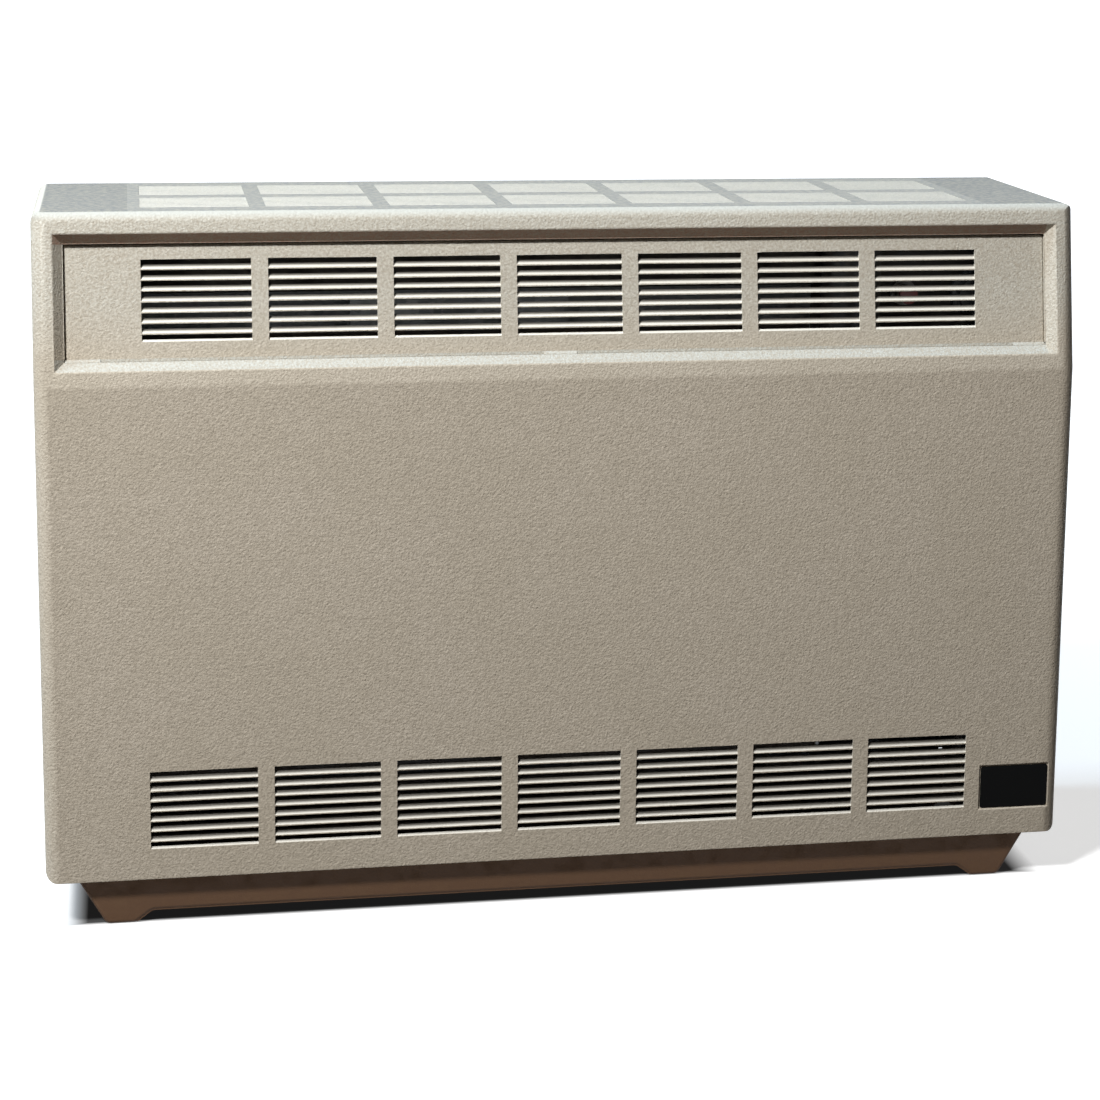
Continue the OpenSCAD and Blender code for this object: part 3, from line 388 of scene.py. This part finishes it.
def moulded(name, color, worn, roughness):
    """Moulded plastic, a little paler where it is handled."""
    paint = Paint(name, color, roughness)
    handled = paint.ramp(paint.noise(12 * MM, 3), 0.45, 0.75)
    paint.set("Base Color", paint.blend(handled, color, worn))
    paint.set("Roughness", (roughness - 0.04) + handled * 0.12)
    paint.bump(paint.noise(0.7 * MM, 2), 0.02 * MM)
    return paint.material


def glazed_ceramic():
    """Brown-glazed insulator."""
    paint = Paint("glazed_ceramic", srgb(96, 90, 82), 0.4)
    crackle = paint.cells(5 * MM, "DISTANCE_TO_EDGE")
    paint.set("Base Color", paint.blend(paint.ramp(crackle, 0, 0.06), srgb(82, 77, 70), srgb(104, 98, 89)))
    paint.bump(paint.noise(4 * MM, 2), 0.03 * MM)
    return paint.material


def glass_fibre():
    """Woven gasket tape, made darker than bare glass fibre as painted shade for the inside of the cabinet.
    """
    paint = Paint("glass_fibre", srgb(125, 118, 108), 0.85)
    across = paint.node(
        "ShaderNodeTexWave", {"wave_type": "BANDS", "bands_direction": "DIAGONAL"}, Vector=paint.place(),
        Scale=180.0, Distortion=2.0,
    )
    paint.set("Base Color", paint.blend(across, srgb(112, 105, 95), srgb(138, 131, 120)))
    paint.bump(across, 0.15 * MM)
    return paint.material


def sight_glass():
    """Heat-proof glass with a faint bloom of soot."""
    paint = Paint("sight_glass", srgb(226, 236, 238), 0.05, transmission_weight=1.0, ior=1.47)
    bloom = paint.ramp(paint.noise(9 * MM, 4), 0.45, 0.75)
    paint.set("Base Color", paint.blend(bloom, srgb(228, 236, 238), srgb(190, 186, 176)))
    paint.set("Roughness", 0.04 + bloom * 0.12)
    return paint.material


def jacket(name, color, faded, roughness):
    """Drawn insulation or sheath on a lead, marked along its length."""
    paint = Paint(name, color, roughness)
    marks = paint.ramp(paint.noise(5 * MM, 4), 0.45, 0.8)
    paint.set("Base Color", paint.blend(marks, color, faded))
    paint.set("Roughness", (roughness - 0.06) + marks * 0.15)
    paint.bump(paint.noise(0.8 * MM, 3), 0.03 * MM)
    return paint.material


finishes = {
    "cabinet_paint": cabinet_enamel(),
    "base_paint": base_enamel(),
    "plate_black": plate_black(),
    "galvanised": galvanised(),
    "aluminised": aluminised(),
    "chamber_steel": stove_black(),
    "screw_zinc": plated("screw_zinc", srgb(142, 144, 146), srgb(118, 119, 119), 0.4),
    "burner_steel": heat_tinted(),
    "brass": turned_brass(),
    "aluminium_tube": plated("drawn_aluminium", srgb(204, 206, 208), srgb(182, 184, 186), 0.34),
    "black_iron": cast_metal(
        "black_iron", srgb(52, 52, 54), srgb(84, 68, 56), 0.55, 0.7, 1.4 * MM, 0.1 * MM
    ),
    "valve_casting": cast_metal(
        "valve_casting", srgb(166, 168, 170), srgb(142, 144, 146), 0.5, 0.85, 0.9 * MM, 0.06 * MM
    ),
    "black_plastic": moulded("black_plastic", srgb(34, 34, 35), srgb(52, 52, 52), 0.5),
    # The knob and the igniter button are given darker colours than their plastics: painted shade for the
    # dark inside the cabinet.
    "knob_plastic": moulded("knob_plastic", srgb(15, 15, 16), srgb(27, 27, 28), 0.5),
    "button_red": moulded("button_red", srgb(84, 16, 13), srgb(98, 30, 25), 0.5),
    "ceramic": glazed_ceramic(),
    "gasket_fibre": glass_fibre(),
    "sight_glass": sight_glass(),
    "steel_plain": plated("plain_steel", srgb(150, 152, 154), srgb(128, 126, 124), 0.4),
    "lead_red": jacket("lead_red", srgb(150, 44, 34), srgb(168, 84, 66), 0.45),
    "lead_copper": jacket("lead_copper", srgb(176, 112, 72), srgb(138, 92, 66), 0.4),
    "lead_black": jacket("lead_black", srgb(38, 38, 38), srgb(62, 60, 58), 0.5),
}

for part in frame["record"]["subparts"]:
    mesh = frame["nodes"][part["node"]].data
    mesh.materials.clear()
    mesh.materials.append(finishes[part["material_slot"]])

dulled = dulled_sheet()
# The sheets inside get this dark finish in place of their plate: painted shade for the inside of the
# cabinet.
for node in INNER_SHEETS:
    frame["nodes"][node].data.materials[0] = dulled


# ---------- folded edges ----------


SLACK = 0.05 * MM


def near(a, b):
    return abs(a - b) < SLACK


def on_header(point):
    """A point's depth behind the header's face, and how far up the header it is from the crease."""
    back = point.y - FRONT_Y
    up = point.z - CREASE_Z
    return (
        back * math.cos(HEADER_TILT) - up * math.sin(HEADER_TILT),
        back * math.sin(HEADER_TILT) + up * math.cos(HEADER_TILT),
    )


def is_crease(points):
    return all(near(depth, 0) and near(s, 0) for depth, s in map(on_header, points))


def is_recess_rim(points):
    """Whether an edge is on the face, round the recess."""
    spots = [on_header(point) for point in points]
    across = all(abs(point.x) < RECESS_X + SLACK for point in points)
    along = all(RECESS_S[0] - SLACK < s < RECESS_S[1] + SLACK for _, s in spots)
    return across and along and all(near(depth, 0) for depth, _ in spots)


def is_mitre(points):
    """Whether an edge runs down a corner of the recess."""
    outer, inner = sorted(points, key=lambda point: on_header(point)[0])
    ends = on_header(outer)[0], on_header(inner)[0]
    at_sides = near(abs(outer.x), RECESS_X) and near(abs(inner.x), RECESS_X - BEVEL_W)
    return at_sides and near(ends[0], 0) and near(ends[1], BEVEL_D)


def runs_across(points):
    a, b = points
    return near(a.y, b.y) and near(a.z, b.z) and abs(a.x - b.x) > 80 * MM


def in_bank(level, start):
    return BANK[0] - 2 * SLACK < level - start < BANK[1] + 2 * SLACK


def is_slat_edge(points):
    """Whether an edge runs along a louvre of the lower bank, on the face."""
    return runs_across(points) and near(points[0].y, FRONT_Y) and in_bank(points[0].z, LOWER_BANK_Z)


def is_grille_slat_edge(points):
    depth, s = on_header(points[0])
    return runs_across(points) and near(depth, GRILLE_DEPTH) and in_bank(s, HEADER_BANK_S)


def is_grille_bend(points):
    """Whether an edge is where the grille's ends and top start to bend back."""
    spots = [on_header(point) for point in points]
    at_top = all(s > GRILLE_TOP_S - 1 * MM for _, s in spots)
    at_end = all(abs(point.x) > GRILLE_X - 1 * MM for point in points)
    return (at_top or at_end) and all(depth < GRILLE_DEPTH + 0.9 * MM for depth, _ in spots)


def is_lower_edge(points):
    return all(near(point.y, FRONT_Y) and near(point.z, CABINET_FOOT_Z) for point in points)


def is_base_front(points):
    return all(near(point.y, BASE_Y) for point in points)


def fold(node, body, *bends):
    """A copy of a node, with some of its edges rounded, each bend being (is_edge, width, segments)."""
    mesh = bmesh.new()
    mesh.from_mesh(frame["nodes"][node].data)
    bmesh.ops.remove_doubles(mesh, verts=mesh.verts, dist=0.005 * MM)
    bmesh.ops.dissolve_limit(mesh, angle_limit=math.radians(0.5), verts=mesh.verts, edges=mesh.edges)
    for is_edge, width, segments in bends:
        edges = [
            edge for edge in mesh.edges
            if len(edge.link_faces) == 2
            and edge.calc_face_angle() > math.radians(5)
            and is_edge([vertex.co for vertex in edge.verts])
        ]
        bmesh.ops.bevel(
            mesh, geom=edges, offset=width, affect="EDGES", segments=segments, profile=0.5, material=-1
        )
    for face in mesh.faces:
        face.smooth = True
    for edge in mesh.edges:
        edge.smooth = len(edge.link_faces) == 2 and edge.calc_face_angle() < math.radians(28)
    data = bpy.data.meshes.new(node + "_folded")
    mesh.to_mesh(data)
    mesh.free()
    data.materials.append(frame["nodes"][node].data.materials[0])
    folded = bpy.data.objects.new(node + "_folded", data)
    bpy.context.collection.objects.link(folded)
    weighted = folded.modifiers.new("even", "WEIGHTED_NORMAL")
    weighted.keep_sharp = True
    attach(folded, body)
    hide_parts(node)


def header_point(x, depth, s):
    """The place at a depth behind the header's face, s up the header from the crease."""
    back = depth * math.cos(HEADER_TILT) + s * math.sin(HEADER_TILT)
    up = s * math.cos(HEADER_TILT) - depth * math.sin(HEADER_TILT)
    return Vector((x, FRONT_Y + back, CREASE_Z + up))


def recess_returns():
    """The rim of the recess, turned straight back past the grille's ends and upper edge."""
    mesh = bmesh.new()
    inner_x, outer_x = OPEN_X - 0.2 * MM, OPEN_X + 1 * MM
    inner_s, outer_s = OPEN_S[1] - 0.3 * MM, OPEN_S[1] + 1 * MM
    front, rear = 8.7 * MM, 14 * MM
    strips = (
        (-outer_x, -inner_x, LUG_TOP_S, outer_s),
        (inner_x, outer_x, LUG_TOP_S, outer_s),
        (-inner_x, inner_x, inner_s, outer_s),
    )
    for x0, x1, s0, s1 in strips:
        made = bmesh.ops.create_cube(mesh, size=1)
        for vertex in made["verts"]:
            x = x1 if vertex.co.x > 0 else x0
            depth = rear if vertex.co.y > 0 else front
            s = s1 if vertex.co.z > 0 else s0
            vertex.co = header_point(x, depth, s)
    data = bpy.data.meshes.new("recess_returns")
    mesh.to_mesh(data)
    mesh.free()
    data.materials.append(finishes["cabinet_paint"])
    returns = bpy.data.objects.new("recess_returns", data)
    bpy.context.collection.objects.link(returns)
    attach(returns, "cabinet")


fold(
    "front_panel", "cabinet",
    (is_crease, 1.6 * MM, 3),
    (is_mitre, 2.2 * MM, 4),
    (is_recess_rim, 1.2 * MM, 3),
    (is_lower_edge, 0.9 * MM, 2),
    (is_slat_edge, 0.42 * MM, 2),
)
fold(
    "access_grille", "grille",
    (is_grille_bend, 0.4 * MM, 2),
    (is_grille_slat_edge, 0.42 * MM, 2),
)
fold("base_tray", "cabinet", (is_base_front, 4 * MM, 4))
recess_returns()


# ---------- floor, light and camera ----------


FLOOR_GREY = (0.055, 0.042, 0.032)
FLOOR_WHITE = (0.6, 0.6, 0.6)
FLOOR_PAINTED_SHADOW = (0.06, 0.06, 0.06)
# Half the width of the floor under the heater that is painted dark as a painted shadow, and its middle and
# half its depth
FOOTPRINT_X = 0.46
FOOTPRINT_Y = (-0.018, 0.114)


def lay_floor():
    """A floor that looks white, with a painted shadow under the heater, and returns little light to it."""
    bpy.ops.mesh.primitive_plane_add(size=80)
    floor = bpy.context.object
    floor.name = "floor"
    paint = Paint("floor", FLOOR_GREY, 0.9, specular_ior_level=0.0, emission_strength=1.0)
    ray = paint.tree.nodes.new("ShaderNodeLightPath")
    camera, glossy, through = (
        Value(paint, ray.outputs[f"Is {kind} Ray"]) for kind in ("Camera", "Glossy", "Transmission")
    )
    seen = camera.maths("MAXIMUM", glossy.maths("MAXIMUM", through))
    away = paint.node("ShaderNodeVectorMath", {"operation": "LENGTH"}, paint.place(), output="Value")
    x, y = paint.axes(2)
    x = x.maths("ABSOLUTE") * (1 / FOOTPRINT_X)
    y = (y - FOOTPRINT_Y[0]).maths("ABSOLUTE") * (1 / FOOTPRINT_Y[1])
    beyond = paint.ramp(x.maths("MAXIMUM", y), 0.94, 1.0)
    # Painted shadow: under the heater the floor is painted dark and glows less.
    shown = paint.blend(beyond, FLOOR_PAINTED_SHADOW, FLOOR_WHITE)
    paint.set("Base Color", paint.blend(seen, FLOOR_GREY, shown))
    glow = seen * (beyond * 0.62 + paint.ramp(away, 0.6, 2.4) * 0.37 + 0.01)
    paint.set("Emission Color", paint.blend(glow, (0, 0, 0), (1, 1, 1)))
    floor.data.materials.append(paint.material)


# How strong the faint light from all round is, at the left and at the right
AROUND_LEFT = 0.04
AROUND_RIGHT = 0.02


def light_world():
    """Faint light from all round, and plain white where the camera or a reflection looks past the floor."""
    world = bpy.data.worlds.new("studio")
    bpy.context.scene.world = world
    world.use_nodes = True
    nodes, links = world.node_tree.nodes, world.node_tree.links
    around = nodes["Background"]
    way = nodes.new("ShaderNodeTexCoord")
    across = nodes.new("ShaderNodeSeparateXYZ")
    links.new(way.outputs["Generated"], across.inputs[0])
    side = nodes.new("ShaderNodeMapRange")
    side.inputs["From Min"].default_value = -1
    links.new(across.outputs["X"], side.inputs["Value"])
    shade = nodes.new("ShaderNodeMix")
    shade.data_type = "RGBA"
    warm = srgb(255, 246, 234)
    shade.inputs[6].default_value = (*(AROUND_LEFT * level for level in warm), 1)
    shade.inputs[7].default_value = (*(AROUND_RIGHT * level for level in warm), 1)
    links.new(side.outputs[0], shade.inputs[0])
    links.new(shade.outputs[2], around.inputs["Color"])
    backdrop = nodes.new("ShaderNodeBackground")
    backdrop.inputs["Color"].default_value = (1, 1, 1, 1)
    ray = nodes.new("ShaderNodeLightPath")
    mirrored = nodes.new("ShaderNodeMath")
    mirrored.operation = "MAXIMUM"
    links.new(ray.outputs["Is Glossy Ray"], mirrored.inputs[0])
    links.new(ray.outputs["Is Transmission Ray"], mirrored.inputs[1])
    seen = nodes.new("ShaderNodeMath")
    seen.operation = "MAXIMUM"
    links.new(ray.outputs["Is Camera Ray"], seen.inputs[0])
    links.new(mirrored.outputs[0], seen.inputs[1])
    mix = nodes.new("ShaderNodeMixShader")
    links.new(seen.outputs[0], mix.inputs[0])
    links.new(around.outputs[0], mix.inputs[1])
    links.new(backdrop.outputs[0], mix.inputs[2])
    links.new(mix.outputs[0], nodes["World Output"].inputs["Surface"])


# The lamp above the heater's front left, and the colour of the light from the sky
KEY_POWER = 545
KEY_AT = (-1.5, -1.68, 2.66)
SKY_BLUE = (0.62, 0.82, 1)


def hang_lamp(name, kind, power, softness, color=(1, 1, 1)):
    """A round lamp, softness being its radius or, for one that is far away, its width in degrees."""
    lamp = bpy.data.objects.new(name, bpy.data.lights.new(name, kind))
    lamp.data.energy = power
    lamp.data.color = color
    if kind == "SUN":
        lamp.data.angle = math.radians(softness)
    else:
        lamp.data.shadow_soft_size = softness
    bpy.context.collection.objects.link(lamp)
    return lamp


def hang_far_lamp(name, towards, power, softness, color=(1, 1, 1)):
    """A lamp so far away that it lights the whole floor alike, seen from the object in a direction."""
    lamp = hang_lamp(name, "SUN", power, softness, color)
    lamp.rotation_euler = Vector(towards).to_track_quat("Z", "Y").to_euler()


def set_camera():
    camera = bpy.data.objects.new("camera", bpy.data.cameras.new("camera"))
    camera.location = CAMERA_AT
    camera.rotation_euler = [math.radians(turn) for turn in CAMERA_TURN]
    camera.data.sensor_width = SENSOR
    camera.data.lens = FOCAL_PX * SENSOR / PHOTO_SIZE
    camera.data.shift_x = 0.5 - VANISHING_CENTRE[0] / PHOTO_SIZE
    camera.data.shift_y = VANISHING_CENTRE[1] / PHOTO_SIZE - 0.5
    bpy.context.collection.objects.link(camera)
    bpy.context.scene.camera = camera


lay_floor()
light_world()
hang_lamp("key", "POINT", KEY_POWER, 0.2).location = KEY_AT
hang_far_lamp("skylight", (-0.45, 0, 0.8), 1.9, 12, SKY_BLUE)
hang_far_lamp("back", (0.6, 0.85, 0.3), 1.15, 20)
set_camera()
bpy.context.scene.view_settings.view_transform = "Standard"
